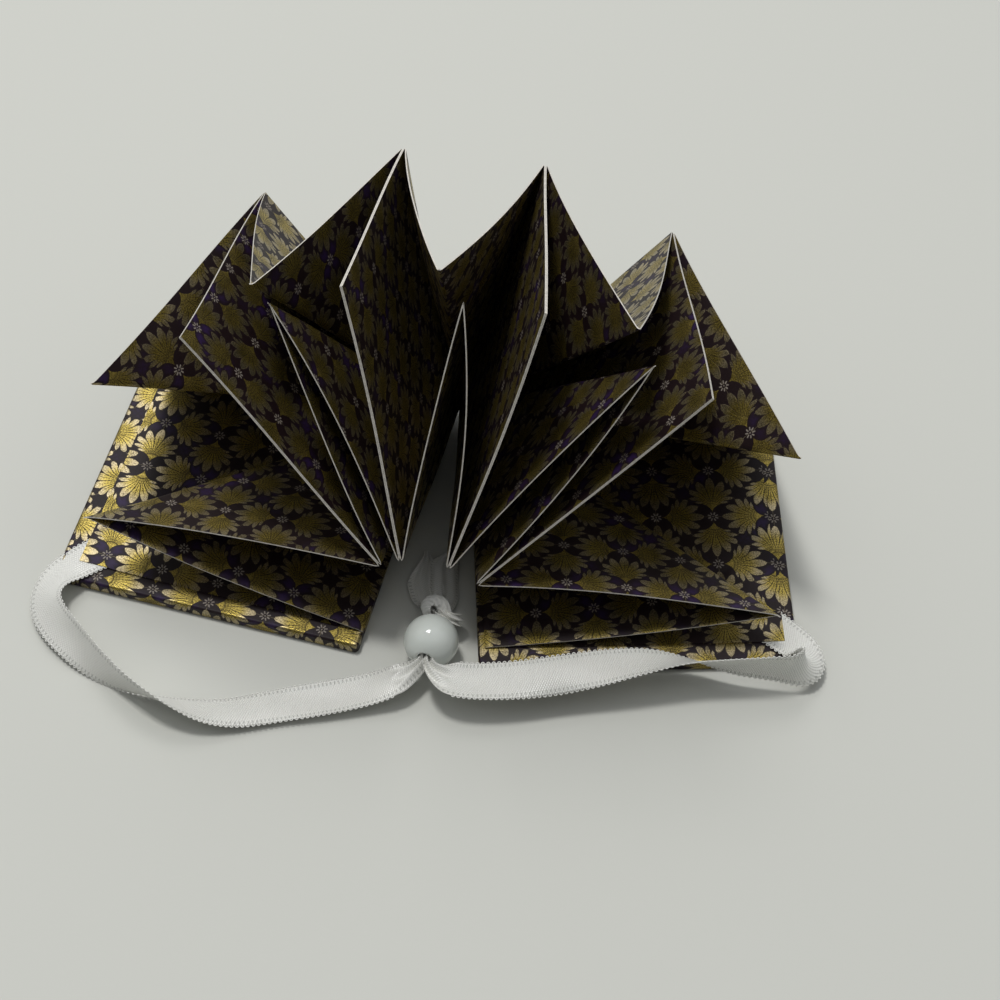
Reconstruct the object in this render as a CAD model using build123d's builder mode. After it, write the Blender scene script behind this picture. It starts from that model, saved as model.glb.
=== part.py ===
from build123d import *
from math import cos, radians, sin, sqrt, tan
import os

# Folded-paper star ornament, opened out on a table. Five square sheets are each
# folded once across both middles and once across a diagonal. Their flat quarters
# are glued back to back, the first and the last one to a stiff wrapped cover, and
# a ribbon from each cover's corner runs through one bead to a knot.
# Millimetres and degrees. X runs to the right, the ribbons are on the -Y side and
# the covers lie on the table at Z = 0.

# Folded sheets
sheet_side = 100.0
sheet_thickness = 0.4
fold_radius = 0.21
glue_film = 0.03

# Covers
cover_side = 53.2
board_thickness = 1.9
wrap_thickness = 0.25
turn_in = 10.0
cover_corner_radius = 0.8
wrap_edge_radius = 0.5
board_edge_radius = 0.2
left_cover_yaw = -12.4
right_cover_yaw = 4.5

# Where each cover's inner back corner lies from the centre of the sheet glued on it
left_corner_offset = (-0.6086, 0.4675)
right_corner_offset = (-0.7502, -0.2293)

# How each page of glued quarters stands, from the left cover to the right cover.
# Yaw swings its front corner to the right, lift raises that corner, and fan turns
# the page about its front edge from flat left to flat right.
page_yaw = (-13.1, -11.1, -8.7, 0.3, 4.8, 4.9)
page_lift = (0.0, 19.5, 20.7, 20.2, 17.3, 0.0)
page_fan = (0.0, 43.9, 74.4, 104.9, 134.7, 180.0)

# How far each sheet's centre is glued past the one before it, along the page's
# back edge and along its front edge. The last sheet drops onto its cover.
slip_along_back = (-1.8, -0.1, -0.2)
slip_along_front = (-1.5, -1.3, 1.0, 2.3)

# First sheet's centre, which sets the whole ornament over the origin
centre_x = 1.3
centre_y = 16.5

# Ribbon, bead and knot
ribbon_width = 7.0
ribbon_thickness = 0.2
gathered_width = 2.0
gathered_thickness = 0.6
bead_radius = 4.55
bead_hole_radius = 1.35
bead_hole_rounding = 0.35
bead_x = 1.4
bead_y = -34.6
bead_axis_yaw = 13.0
bead_axis_dip = 11.5
cord_radius = 1.2
knot_core_radius = 2.3
knot_wrap_radius = 0.95
knot_gap = 0.15
tail_root_radius = 0.3
tail_length = 16.0
tail_yaw = (4.0, 19.0)
table_gap = 0.1

cover_thickness = board_thickness + 2 * wrap_thickness
glued_level = cover_thickness + ribbon_thickness / 2

# Ribbon routes, from the glued end under a sheet's corner to the bead
left_route = (
    (-46.3, -12.5, glued_level),
    (-53.0, -17.2, glued_level),
    (-59.5, -21.3, glued_level),
    (-63.6, -25.1, 2.7),
    (-65.0, -29.7, 2.3),
    (-62.9, -34.2, 1.2),
    (-58.3, -38.0, 0.5),
    (-52.3, -41.7, 0.3),
    (-45.3, -45.5, 0.3),
    (-38.1, -47.9, 0.3),
    (-30.3, -47.9, 0.3),
    (-22.3, -46.2, 0.4),
    (-14.3, -44.2, 1.0),
    (-6.7, -41.7, 2.6),
)
right_route = (
    (49.2, -19.3, glued_level),
    (55.2, -24.7, glued_level),
    (61.2, -29.7, glued_level),
    (64.6, -32.8, 3.0),
    (65.7, -36.3, 4.2),
    (62.5, -38.3, 5.6),
    (57.3, -37.9, 6.0),
    (50.9, -37.4, 6.1),
    (44.3, -37.0, 6.4),
    (37.3, -37.7, 6.5),
    (29.5, -39.2, 6.5),
    (21.5, -41.2, 6.4),
    (13.7, -42.4, 6.1),
    (6.3, -42.9, 5.6),
)

quarter = sheet_side / 2
page_count = len(page_fan)
up = Vector(0, 0, 1)


def write(piece, name):
    piece.part.label = name
    export_step(piece.part, f"parts/{name}.step")


# Directions of the folds

def page_edges(page):
    """Unit vectors from the centre along a page's front and back edges."""
    yaw = radians(page_yaw[page])
    lift = radians(page_lift[page])
    fan = radians(page_fan[page])
    front = Vector(sin(yaw) * cos(lift), -cos(yaw) * cos(lift), sin(lift))
    level = Vector(-cos(yaw), -sin(yaw), 0)
    steep = front.cross(level)
    return front, level * cos(fan) - steep * sin(fan)


def gusset_ridge(first, second, inward):
    """Unit vector at 45 degrees to both edges, on the side that faces inward."""
    between = (first + second) * (cos(radians(45)) / (1 + first.dot(second)))
    across = first.cross(second).normalized()
    if across.dot(inward) < 0:
        across = across * -1
    return between + across * sqrt(1 - between.dot(between))


fronts = [page_edges(page)[0] for page in range(page_count)]
backs = [page_edges(page)[1] for page in range(page_count)]


def sheet_centres():
    """Each sheet lies one thickness and two glue films past the sheet before it."""
    pitch = sheet_thickness + 2 * glue_film
    seat = cover_thickness + glue_film + sheet_thickness / 2
    centres = [Vector(centre_x, centre_y, seat)]
    for page in range(1, page_count - 1):
        onward = backs[page].cross(fronts[page])
        glued = centres[-1] + onward * pitch + fronts[page] * slip_along_front[page - 1]
        if page <= len(slip_along_back):
            slip = slip_along_back[page - 1]
        else:
            slip = (seat - glued.Z) / backs[page].Z
        centres.append(glued + backs[page] * slip)
    return centres


centres = sheet_centres()


# Covers

def make_cover(side, sheet_centre, corner_offset, yaw, outward):
    """A board and the paper wrapped round it, with its turn-ins pressed flush."""
    corner = Vector(sheet_centre.X + corner_offset[0], sheet_centre.Y + corner_offset[1], 0)
    across = Vector(cos(radians(yaw)), sin(radians(yaw)), 0)
    middle = corner + (across * outward - up.cross(across)) * (cover_side / 2)
    base = Plane(middle, x_dir=across, z_dir=up)
    board_side = cover_side - 2 * wrap_thickness

    with BuildPart() as board:
        with BuildSketch(base.offset(wrap_thickness)):
            RectangleRounded(board_side, board_side, cover_corner_radius - wrap_thickness)
        extrude(amount=board_thickness)
        rims = board.faces().filter_by(Axis.Z).edges()
        fillet(rims, board_edge_radius)
        with BuildSketch(base.offset(wrap_thickness + board_thickness)):
            Rectangle(cover_side - 2 * turn_in, cover_side - 2 * turn_in)
        extrude(amount=wrap_thickness)
    write(board, f"{side}_cover_board")

    with BuildPart() as wrap:
        with BuildSketch(base):
            RectangleRounded(cover_side, cover_side, cover_corner_radius)
        extrude(amount=cover_thickness)
        rims = wrap.faces().filter_by(Axis.Z).edges()
        fillet(rims, wrap_edge_radius)
        add(board.part, mode=Mode.SUBTRACT)
    write(wrap, f"{side}_cover_paper")


# Ribbons

def side_of(direction):
    """Level unit vector to the left of a direction."""
    return up.cross(direction).normalized()


def corner_radii(points):
    """Largest arc that two neighbouring runs leave room for, at each corner."""
    radii = []
    for before, at, after in zip(points, points[1:], points[2:]):
        shorter = min((at - before).length, (after - at).length)
        turn = (at - before).get_angle(after - at)
        radii.append(0.45 * shorter / tan(radians(turn) / 2))
    return radii


bead_centre = Vector(bead_x, bead_y, bead_radius)
bead_axis = Vector(
    sin(radians(bead_axis_yaw)) * cos(radians(bead_axis_dip)),
    cos(radians(bead_axis_yaw)) * cos(radians(bead_axis_dip)),
    -sin(radians(bead_axis_dip)),
)
entry = Plane(bead_centre - bead_axis * bead_radius,
              x_dir=side_of(bead_axis), z_dir=bead_axis)


def make_ribbon(side, route, layer):
    """A flat ribbon along its route, gathered at its end into the bead's hole."""
    points = [Vector(*point) for point in route]
    radii = corner_radii(points)
    start_run = points[1] - points[0]
    end_run = points[-1] - points[-2]
    start = Plane(points[0], x_dir=side_of(start_run), z_dir=start_run)
    end = Plane(points[-1], x_dir=side_of(end_run), z_dir=end_run)
    hole = Plane(entry.origin + entry.y_dir * (layer * gathered_thickness / 2),
                 x_dir=entry.x_dir, z_dir=entry.z_dir)

    with BuildPart() as ribbon:
        with BuildLine() as path:
            FilletPolyline(*points, radius=radii)
        with BuildSketch(start):
            Rectangle(ribbon_width, ribbon_thickness)
        sweep(path=path.wire(), binormal=path.wire().moved(Location(up * ribbon_width)))
    length = path.wire().length
    section = ribbon_width * ribbon_thickness
    print(f"{side} ribbon length {length:.1f}, volume over section times length "
          f"{ribbon.part.volume / (section * length):.3f}, "
          f"radii {', '.join(f'{radius:.1f}' for radius in radii)}")

    with BuildPart() as gather:
        with BuildSketch(end):
            Rectangle(ribbon_width, ribbon_thickness)
        with BuildSketch(hole):
            Rectangle(gathered_width, gathered_thickness)
        loft()

    with BuildPart() as whole:
        add(ribbon.part)
        add(gather.part)
    write(whole, f"{side}_ribbon")
    return whole.part


# Folded sheets

def make_sheet(number, pressed_in):
    """Two flat quarters on neighbouring pages, with a folded gusset at each end."""
    centre = centres[number]
    edges = {}
    for name, page in (("near", number), ("far", number + 1)):
        edges[name] = (fronts[page], backs[page])
    front_ridge = gusset_ridge(edges["near"][0], edges["far"][0],
                               edges["near"][1] + edges["far"][1])
    back_ridge = gusset_ridge(edges["near"][1], edges["far"][1],
                              edges["near"][0] + edges["far"][0])
    diagonal = quarter * sqrt(2)
    front_tip = centre + front_ridge * diagonal
    back_tip = centre + back_ridge * diagonal

    facets = []
    folds = [(front_ridge, diagonal), (back_ridge, diagonal)]
    for front, back in edges.values():
        front_end = centre + front * quarter
        back_end = centre + back * quarter
        facets.append((centre, front_end, front_end + back * quarter, back_end))
        facets.append((centre, front_end, front_tip))
        facets.append((centre, back_end, back_tip))
        folds.append((front, quarter))
        folds.append((back, quarter))

    with BuildPart() as sheet:
        for corners in facets:
            along = corners[1] - corners[0]
            flat = Plane(centre, x_dir=along, z_dir=along.cross(corners[-1] - corners[0]))
            with BuildSketch(flat):
                with BuildLine():
                    Polyline(*[flat.to_local_coords(corner) for corner in corners], close=True)
                make_face()
            extrude(amount=sheet_thickness / 2, both=True)
        for direction, length in folds:
            with Locations(Plane(centre, z_dir=direction)):
                Cylinder(fold_radius, length, align=(Align.CENTER, Align.CENTER, Align.MIN))
        with Locations(centre):
            Sphere(fold_radius)
        if pressed_in is not None:
            add(pressed_in, mode=Mode.SUBTRACT)
    write(sheet, f"folded_sheet_{number + 1}")


# Bead and knot

def make_bead():
    """A round bead with a softened hole along its axis."""
    profile = Plane(bead_centre, x_dir=side_of(bead_axis), z_dir=bead_axis.cross(side_of(bead_axis)))
    with BuildPart() as bead:
        with BuildSketch(profile):
            Circle(bead_radius)
            with Locations((bead_radius + bead_hole_radius, 0)):
                Rectangle(2 * bead_radius, 2 * bead_radius, mode=Mode.INTERSECT)
            fillet(vertices().sort_by(Axis.X)[:2], bead_hole_rounding)
        revolve(axis=Axis(bead_centre, bead_axis))
    write(bead, "bead")


def make_knot():
    """Both ribbons through the bead, knotted behind it, and their two tails."""
    knot_radius = knot_core_radius + knot_wrap_radius / 2
    reach = bead_radius + knot_gap + knot_radius
    knot_centre = bead_centre + bead_axis * reach
    knot_plane = Plane(knot_centre, x_dir=side_of(bead_axis), z_dir=bead_axis)
    lowest_level = table_gap + ribbon_thickness * 1.5
    with BuildPart() as knot:
        with Locations(entry):
            Cylinder(cord_radius, bead_radius + reach,
                     align=(Align.CENTER, Align.CENTER, Align.MIN))
        with Locations(knot_plane):
            Sphere(knot_core_radius)
            for tilt in (-38, 0, 38):
                with Locations(Rotation(0, tilt, 0)):
                    Torus(knot_core_radius - knot_wrap_radius / 2, knot_wrap_radius)
        with Locations((knot_centre.X, knot_centre.Y, lowest_level)):
            Cylinder(tail_root_radius, knot_centre.Z - lowest_level,
                     align=(Align.CENTER, Align.CENTER, Align.MIN))
        for layer, yaw in enumerate(tail_yaw):
            level = lowest_level + ribbon_thickness * layer
            heading = Vector(-sin(radians(yaw)), cos(radians(yaw)), 0)
            foot = Vector(knot_centre.X, knot_centre.Y, level)
            with BuildSketch(Plane(foot, x_dir=heading, z_dir=up)):
                with Locations((tail_length / 2, 0)):
                    Rectangle(tail_length, ribbon_width)
            extrude(amount=ribbon_thickness / 2, both=True)
    write(knot, "ribbon_knot")


os.makedirs("parts", exist_ok=True)
make_cover("left", centres[0], left_corner_offset, left_cover_yaw, -1)
make_cover("right", centres[-1], right_corner_offset, right_cover_yaw, 1)
left_ribbon = make_ribbon("left", left_route, -1)
right_ribbon = make_ribbon("right", right_route, 1)
pressed_ribbons = [left_ribbon, None, None, None, right_ribbon]
for number, ribbon in enumerate(pressed_ribbons):
    make_sheet(number, ribbon)
make_bead()
make_knot()
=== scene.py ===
"""Folded-paper star ornament: printed sheets, wrapped covers, ribbons, bead and stage."""

import math

import bmesh
import bpy
import numpy as np
from bpy.props import FloatProperty, FloatVectorProperty, IntProperty, PointerProperty
from mathutils import Matrix, Vector


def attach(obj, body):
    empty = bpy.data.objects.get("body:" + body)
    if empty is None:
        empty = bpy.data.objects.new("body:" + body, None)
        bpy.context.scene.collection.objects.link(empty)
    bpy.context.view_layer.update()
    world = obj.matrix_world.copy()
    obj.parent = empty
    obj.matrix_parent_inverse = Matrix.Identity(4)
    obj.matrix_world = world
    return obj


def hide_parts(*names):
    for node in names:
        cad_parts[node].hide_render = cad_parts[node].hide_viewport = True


bl_info = {
    "name": "Folded paper star ornament",
    "version": (1, 0, 0),
    "blender": (4, 5, 0),
    "location": "View3D > Sidebar > Ornament",
    "description": "Printed folded sheets between wrapped covers, tied with ribbon and a bead",
    "category": "Mesh",
}

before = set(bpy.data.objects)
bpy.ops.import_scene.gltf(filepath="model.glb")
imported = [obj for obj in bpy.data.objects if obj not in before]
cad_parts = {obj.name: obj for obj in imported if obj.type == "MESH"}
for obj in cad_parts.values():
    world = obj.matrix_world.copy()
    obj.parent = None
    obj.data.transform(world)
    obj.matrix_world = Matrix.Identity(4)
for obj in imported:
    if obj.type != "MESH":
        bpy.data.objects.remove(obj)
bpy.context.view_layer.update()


def hex_colour(text):
    """An sRGB hex value as linear red, green, blue and alpha."""
    parts = [int(text.lstrip("#")[i:i + 2], 16) / 255 for i in (0, 2, 4)]
    return (*[p / 12.92 if p <= 0.04045 else ((p + 0.055) / 1.055) ** 2.4 for p in parts], 1.0)


def add(tree, kind, inputs=None, **settings):
    """Add a node, set its options, and give its inputs values or links."""
    made = tree.nodes.new(kind)
    for name, value in settings.items():
        setattr(made, name, value)
    for key, value in (inputs or {}).items():
        if isinstance(value, bpy.types.NodeSocket):
            tree.links.new(value, made.inputs[key])
        else:
            made.inputs[key].default_value = value
    return made


def new_material(name):
    """A material of that name with an empty node tree."""
    material = bpy.data.materials.new(name)
    material.use_nodes = True
    material.node_tree.nodes.clear()
    return material, material.node_tree


def mesh_piece(name, points, faces, materials, slots=None, uvs=None, crease=40):
    """A smooth mesh object at the origin, with hard edges past the crease angle."""
    mesh = bpy.data.meshes.new(name)
    mesh.from_pydata(np.asarray(points).tolist(), [], [list(map(int, face)) for face in faces])
    if uvs is not None:
        layer = mesh.uv_layers.new(name="Print")
        corners = np.zeros(len(mesh.loops), np.int32)
        mesh.loops.foreach_get("vertex_index", corners)
        layer.data.foreach_set("uv", np.asarray(uvs, np.float32)[corners].ravel())
    for material in materials:
        mesh.materials.append(material)
    if slots is not None:
        mesh.polygons.foreach_set("material_index", np.asarray(slots, np.int32))
    mesh.polygons.foreach_set("use_smooth", np.ones(len(mesh.polygons), bool))
    mesh.set_sharp_from_angle(angle=math.radians(crease))
    mesh.update()
    piece = bpy.data.objects.new(name, mesh)
    bpy.context.collection.objects.link(piece)
    return piece


def unit(v):
    return v / np.linalg.norm(v, axis=-1, keepdims=True)


def smooth_step(low, high, value):
    x = np.clip((value - low) / (high - low), 0, 1)
    return x * x * (3 - 2 * x)


# ------------------------------------------------------------------ settings

class PrintSettings(bpy.types.PropertyGroup):
    repeat: FloatProperty(name="Repeat", description="Distance between neighbouring rosettes",
                          default=0.00985, unit="LENGTH", precision=5)
    gold: FloatVectorProperty(name="Gold", description="Gold foil ink", subtype="COLOR", size=4,
                              default=hex_colour("#B7A355"))
    tip: FloatVectorProperty(name="Petal tips", description="Paler foil at the petals' tips",
                             subtype="COLOR", size=4, default=hex_colour("#B9AB8A"))
    vein: FloatVectorProperty(name="Veins", description="Dotted lines in the petals", subtype="COLOR",
                              size=4, default=hex_colour("#1E1408"))
    dots: FloatVectorProperty(name="Rosette strokes", description="Pale strokes of the rosettes",
                              subtype="COLOR", size=4, default=hex_colour("#8E857C"))
    ground: FloatVectorProperty(name="Ground", description="Aubergine ground", subtype="COLOR", size=4,
                                default=hex_colour("#1A0D10"))
    bloom: FloatVectorProperty(name="Bloom", description="Violet bloom in the ground", subtype="COLOR",
                               size=4, default=hex_colour("#2A1940"))
    core: FloatVectorProperty(name="Cut edge", description="Bare paper of the cut edges",
                              subtype="COLOR", size=4, default=hex_colour("#D9D4CC"))


class SheetSettings(bpy.types.PropertyGroup):
    side: FloatProperty(name="Side", description="Side of each square sheet", default=0.1, unit="LENGTH")
    thickness: FloatProperty(name="Paper", description="Thickness of the paper", default=0.00021,
                             unit="LENGTH", precision=5)
    spacing: FloatProperty(name="Glued spacing", description="Between the middles of two glued sheets",
                           default=0.00046, unit="LENGTH", precision=5)
    seat: FloatProperty(name="Seat", description="Height of a sheet's middle on its cover",
                        default=0.00263, unit="LENGTH", precision=5)
    centre: FloatVectorProperty(name="First centre", description="Where the first sheet's middle lies",
                                size=2, default=(0.0013, 0.0165), unit="LENGTH")
    yaw: FloatVectorProperty(name="Page yaw", description="Swing of each page's front corner to the right",
                             size=6, default=[math.radians(a) for a in (-13.1, -11.1, -8.7, 0.3, 4.8, 4.9)],
                             unit="ROTATION")
    lift: FloatVectorProperty(name="Page lift", description="Rise of each page's front corner", size=6,
                              default=[math.radians(a) for a in (0.0, 19.5, 20.7, 20.2, 17.3, 0.0)],
                              unit="ROTATION")
    fan: FloatVectorProperty(name="Page fan", description="Turn of each page about its front edge", size=6,
                             default=[math.radians(a) for a in (0.0, 43.9, 74.4, 104.9, 134.7, 180.0)],
                             unit="ROTATION")
    slip_back: FloatVectorProperty(name="Back slip", description="Glued offset along the back edges",
                                   size=3, default=(-0.0018, -0.0001, -0.0002), unit="LENGTH")
    slip_front: FloatVectorProperty(name="Front slip", description="Glued offset along the front edges",
                                    size=4, default=(-0.0015, -0.0013, 0.0010, 0.0023), unit="LENGTH")
    fold_radius: FloatProperty(name="Fold softness", description="Softness of the pressed folds",
                               default=0.00040, unit="LENGTH", precision=5)
    loop_radius: FloatProperty(name="Loop softness", description="Softness of the free diagonal folds",
                               default=0.00085, unit="LENGTH", precision=5)
    gusset_bow: FloatProperty(name="Gusset bow", description="How far each gusset half bows open",
                              default=0.0011, unit="LENGTH", precision=5)
    cells: IntProperty(name="Cells", description="Mesh cells along a sheet's side", default=144)


class CoverSettings(bpy.types.PropertyGroup):
    thickness: FloatProperty(name="Thickness", description="Board and paper together", default=0.0024,
                             unit="LENGTH", precision=5)
    left_centre: FloatVectorProperty(name="Left centre", description="Middle of the left cover", size=2,
                                     default=(-0.0310, -0.0033), unit="LENGTH")
    left_yaw: FloatProperty(name="Left yaw", description="Turn of the left cover",
                            default=math.radians(-12.4), unit="ROTATION")
    right_centre: FloatVectorProperty(name="Right centre", description="Middle of the right cover",
                                      size=2, default=(0.0339, -0.0090), unit="LENGTH")
    right_yaw: FloatProperty(name="Right yaw", description="Turn of the right cover",
                             default=math.radians(4.5), unit="ROTATION")
    board: FloatVectorProperty(name="Board", description="Grey board", subtype="COLOR", size=4,
                               default=hex_colour("#9A9183"))


class RibbonSettings(bpy.types.PropertyGroup):
    width: FloatProperty(name="Width", description="Across the ribbon and its edge loops",
                         default=0.007, unit="LENGTH", precision=4)
    thickness: FloatProperty(name="Thickness", description="Thickness of the weave", default=0.0002,
                             unit="LENGTH", precision=5)
    loop_pitch: FloatProperty(name="Loop pitch", description="Between two edge loops", default=0.00088,
                              unit="LENGTH", precision=5)
    loop_radius: FloatProperty(name="Loop size", description="Radius of an edge loop", default=0.00024,
                               unit="LENGTH", precision=5)
    thread: FloatProperty(name="Thread", description="Radius of the loops' thread", default=0.00010,
                          unit="LENGTH", precision=5)
    satin: FloatVectorProperty(name="Satin", description="White satin", subtype="COLOR", size=4,
                               default=hex_colour("#EDEDE7"))


class BeadSettings(bpy.types.PropertyGroup):
    radius: FloatProperty(name="Radius", description="Radius of the bead", default=0.00455,
                          unit="LENGTH", precision=5)
    hole: FloatProperty(name="Hole", description="Radius of its hole", default=0.00112, unit="LENGTH",
                        precision=5)
    centre: FloatVectorProperty(name="Centre", description="Middle of the bead", size=3,
                                default=(0.0014, -0.0346, 0.00455), unit="LENGTH")
    yaw: FloatProperty(name="Hole yaw", description="Swing of the hole to the right",
                       default=math.radians(13.0), unit="ROTATION")
    dip: FloatProperty(name="Hole dip", description="Fall of the hole towards the knot",
                       default=math.radians(11.5), unit="ROTATION")
    glass: FloatVectorProperty(name="Glass", description="Milk-white glass", subtype="COLOR", size=4,
                               default=hex_colour("#D8DDD8"))


# ------------------------------------------------------------------ finishes

# Steps of the printed palmette, one Math node each: a name, an operation and what it
# works on. It starts from x and y, counted in repeats, and "repeat" is in millimetres.
PALMETTE = (
    # Which diamond of the lattice this is, and its middle
    ("sum", "ADD", "x", "y"), ("gap", "SUBTRACT", "x", "y"),
    ("row", "FLOOR", "sum"), ("file", "FLOOR", "gap"),
    ("row_mid", "ADD", "row", 0.5), ("file_mid", "ADD", "file", 0.5),
    ("mid_x2", "ADD", "row_mid", "file_mid"), ("mid_y2", "SUBTRACT", "row_mid", "file_mid"),
    ("dx", "MULTIPLY_ADD", "mid_x2", -0.5, "x"), ("dy", "MULTIPLY_ADD", "mid_y2", -0.5, "y"),
    # Upright figures alternate with level ones, and point two ways
    ("both", "ADD", "row", "file"), ("upright", "FLOORED_MODULO", "both", 2.0),
    ("odd_row", "FLOORED_MODULO", "row", 2.0),
    ("way_a", "MULTIPLY_ADD", "odd_row", -2.0, 1.0), ("way_b", "MULTIPLY_ADD", "upright", -2.0, 1.0),
    ("way", "MULTIPLY", "way_a", "way_b"), ("swap", "SUBTRACT", "dy", "dx"),
    ("along", "MULTIPLY_ADD", "swap", "upright", "dx"), ("shift", "MULTIPLY", "swap", "upright"),
    ("across", "SUBTRACT", "dy", "shift"),
    ("ahead", "MULTIPLY_ADD", "along", "way", 0.5), ("ahead_mm", "MULTIPLY", "ahead", "repeat"),
    ("t", "SUBTRACT", "ahead_mm", 1.1), ("across_mm", "MULTIPLY", "across", "repeat"),
    ("s", "ABSOLUTE", "across_mm"),
    ("tt", "MULTIPLY", "t", "t"), ("rr", "MULTIPLY_ADD", "s", "s", "tt"), ("r", "SQRT", "rr"),
    # The fan opens like a trumpet, and its nine petals are counted from the middle one
    ("angle", "ARCTAN2", "s", "t"),
    ("flare_raw", "MULTIPLY_ADD", "r", 0.155, 0.19), ("flare", "MINIMUM", "flare_raw", 1.0),
    ("spread", "DIVIDE", "angle", "flare"),
    ("count", "DIVIDE", "spread", 0.330), ("nearest", "ROUND", "count"), ("petal", "MINIMUM", "nearest", 4.0),
    ("off_wide", "MULTIPLY_ADD", "petal", -0.330, "spread"), ("off", "MINIMUM", "off_wide", 1.5),
    ("off_sine", "SINE", "off"),
    ("side_signed", "MULTIPLY", "off_sine", "r"), ("side", "ABSOLUTE", "side_signed"),
    ("shorter", "POWER", "petal", 1.45), ("length", "MULTIPLY_ADD", "shorter", -0.50, 7.15),
    ("reach", "DIVIDE", "r", "length"),
    # Petals have round tips, and grow together below them
    ("round_raw", "MULTIPLY_ADD", "reach", 3.2, -2.2), ("round_in", "MAXIMUM", "round_raw", 0.0),
    ("round_sq", "MULTIPLY", "round_in", "round_in"), ("round_left", "SUBTRACT", 1.0, "round_sq"),
    ("round_pos", "MAXIMUM", "round_left", 0.0), ("round_out", "SQRT", "round_pos"),
    ("broad", "MULTIPLY_ADD", "length", 0.070, 0.31), ("tip_half", "MULTIPLY", "broad", "round_out"),
    ("body_half", "MULTIPLY", "r", 0.168), ("half", "MINIMUM", "tip_half", "body_half"),
    ("inside", "SUBTRACT", "half", "side"), ("gold_raw", "MULTIPLY_ADD", "inside", 9.0, 0.5),
    ("gold_low", "MAXIMUM", "gold_raw", 0.0), ("gold", "MINIMUM", "gold_low", 1.0),
    ("halo_raw", "MULTIPLY_ADD", "inside", 1.3, 1.25), ("halo_low", "MAXIMUM", "halo_raw", 0.0),
    ("halo", "MINIMUM", "halo_low", 1.0),
    # Dotted dark lines between the petals and down their middles
    ("bead_wave", "MULTIPLY", "r", 12.0), ("bead_beat", "SINE", "bead_wave"),
    ("vein_half", "MULTIPLY_ADD", "bead_beat", 0.03, 0.05),
    ("seam_off", "ABSOLUTE", "off"), ("seam_gap", "SUBTRACT", 0.165, "seam_off"),
    ("seam_side", "MULTIPLY", "seam_gap", "r"), ("seam_abs", "ABSOLUTE", "seam_side"),
    ("seam_thin", "ADD", "seam_abs", -0.04),
    ("line_near", "MINIMUM", "seam_thin", "side"), ("line_in", "SUBTRACT", "vein_half", "line_near"),
    ("line_raw", "MULTIPLY_ADD", "line_in", 14.0, 0.5), ("line_a", "MAXIMUM", "line_raw", 0.0),
    ("line_b", "MINIMUM", "line_a", 1.0),
    ("line_end", "MULTIPLY_ADD", "reach", -8.0, 6.4), ("line_end_a", "MAXIMUM", "line_end", 0.0),
    ("line_end_b", "MINIMUM", "line_end_a", 1.0),
    ("line_start", "MULTIPLY_ADD", "r", 2.0, -2.4), ("line_start_a", "MAXIMUM", "line_start", 0.0),
    ("line_start_b", "MINIMUM", "line_start_a", 1.0),
    ("line_c", "MULTIPLY", "line_b", "line_end_b"), ("vein", "MULTIPLY", "line_c", "line_start_b"),
    ("pale_raw", "MULTIPLY_ADD", "reach", 4.0, -2.5), ("pale_low", "MAXIMUM", "pale_raw", 0.0),
    ("pale", "MINIMUM", "pale_low", 1.0),
    # Eight short strokes and a dot make the rosette at each lattice point
    ("near_x", "ROUND", "x"), ("near_y", "ROUND", "y"),
    ("ux", "SUBTRACT", "x", "near_x"), ("uy", "SUBTRACT", "y", "near_y"),
    ("mx", "MULTIPLY", "ux", "repeat"), ("my", "MULTIPLY", "uy", "repeat"),
    ("mm2", "MULTIPLY", "mx", "mx"), ("rho2", "MULTIPLY_ADD", "my", "my", "mm2"), ("rho", "SQRT", "rho2"),
    ("ring_angle", "ARCTAN2", "my", "mx"), ("ring_part", "FLOORED_MODULO", "ring_angle", 0.7854),
    ("ring_off", "SUBTRACT", "ring_part", 0.3927), ("ring_sine", "SINE", "ring_off"),
    ("stroke_side", "MULTIPLY", "ring_sine", "rho"), ("stroke_sq", "MULTIPLY", "stroke_side", "stroke_side"),
    ("seg_low", "MAXIMUM", "rho", 0.50), ("seg", "MINIMUM", "seg_low", 0.85),
    ("stroke_end", "SUBTRACT", "rho", "seg"), ("stroke_far2", "MULTIPLY_ADD", "stroke_end", "stroke_end",
                                               "stroke_sq"),
    ("stroke_far", "SQRT", "stroke_far2"), ("dot_near", "MINIMUM", "stroke_far", "rho"),
    ("dot_raw", "MULTIPLY_ADD", "dot_near", -10.0, 1.6), ("dot_low", "MAXIMUM", "dot_raw", 0.0),
    ("dot", "MINIMUM", "dot_low", 1.0),
)


def palmette_group(repeat):
    """Node group that turns a place on the paper into the masks of the print."""
    tree = bpy.data.node_groups.new("Palmette print", "ShaderNodeTree")
    tree.interface.new_socket("Place", in_out="INPUT", socket_type="NodeSocketVector")
    masks = ("gold", "vein", "pale", "dot", "halo")
    for name in masks:
        tree.interface.new_socket(name, in_out="OUTPUT", socket_type="NodeSocketFloat")
    start = add(tree, "NodeGroupInput")
    scaled = add(tree, "ShaderNodeVectorMath", {0: start.outputs[0], 3: 0.1 / repeat}, operation="SCALE")
    parts = add(tree, "ShaderNodeSeparateXYZ", {0: scaled.outputs[0]})
    values = {"x": parts.outputs[0], "y": parts.outputs[1], "repeat": repeat * 1000}
    for name, operation, *terms in PALMETTE:
        feeds = {i: values.get(term, term) for i, term in enumerate(terms)}
        values[name] = add(tree, "ShaderNodeMath", feeds, operation=operation).outputs[0]
    add(tree, "NodeGroupOutput", {i: values[name] for i, name in enumerate(masks)})
    return tree


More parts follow.
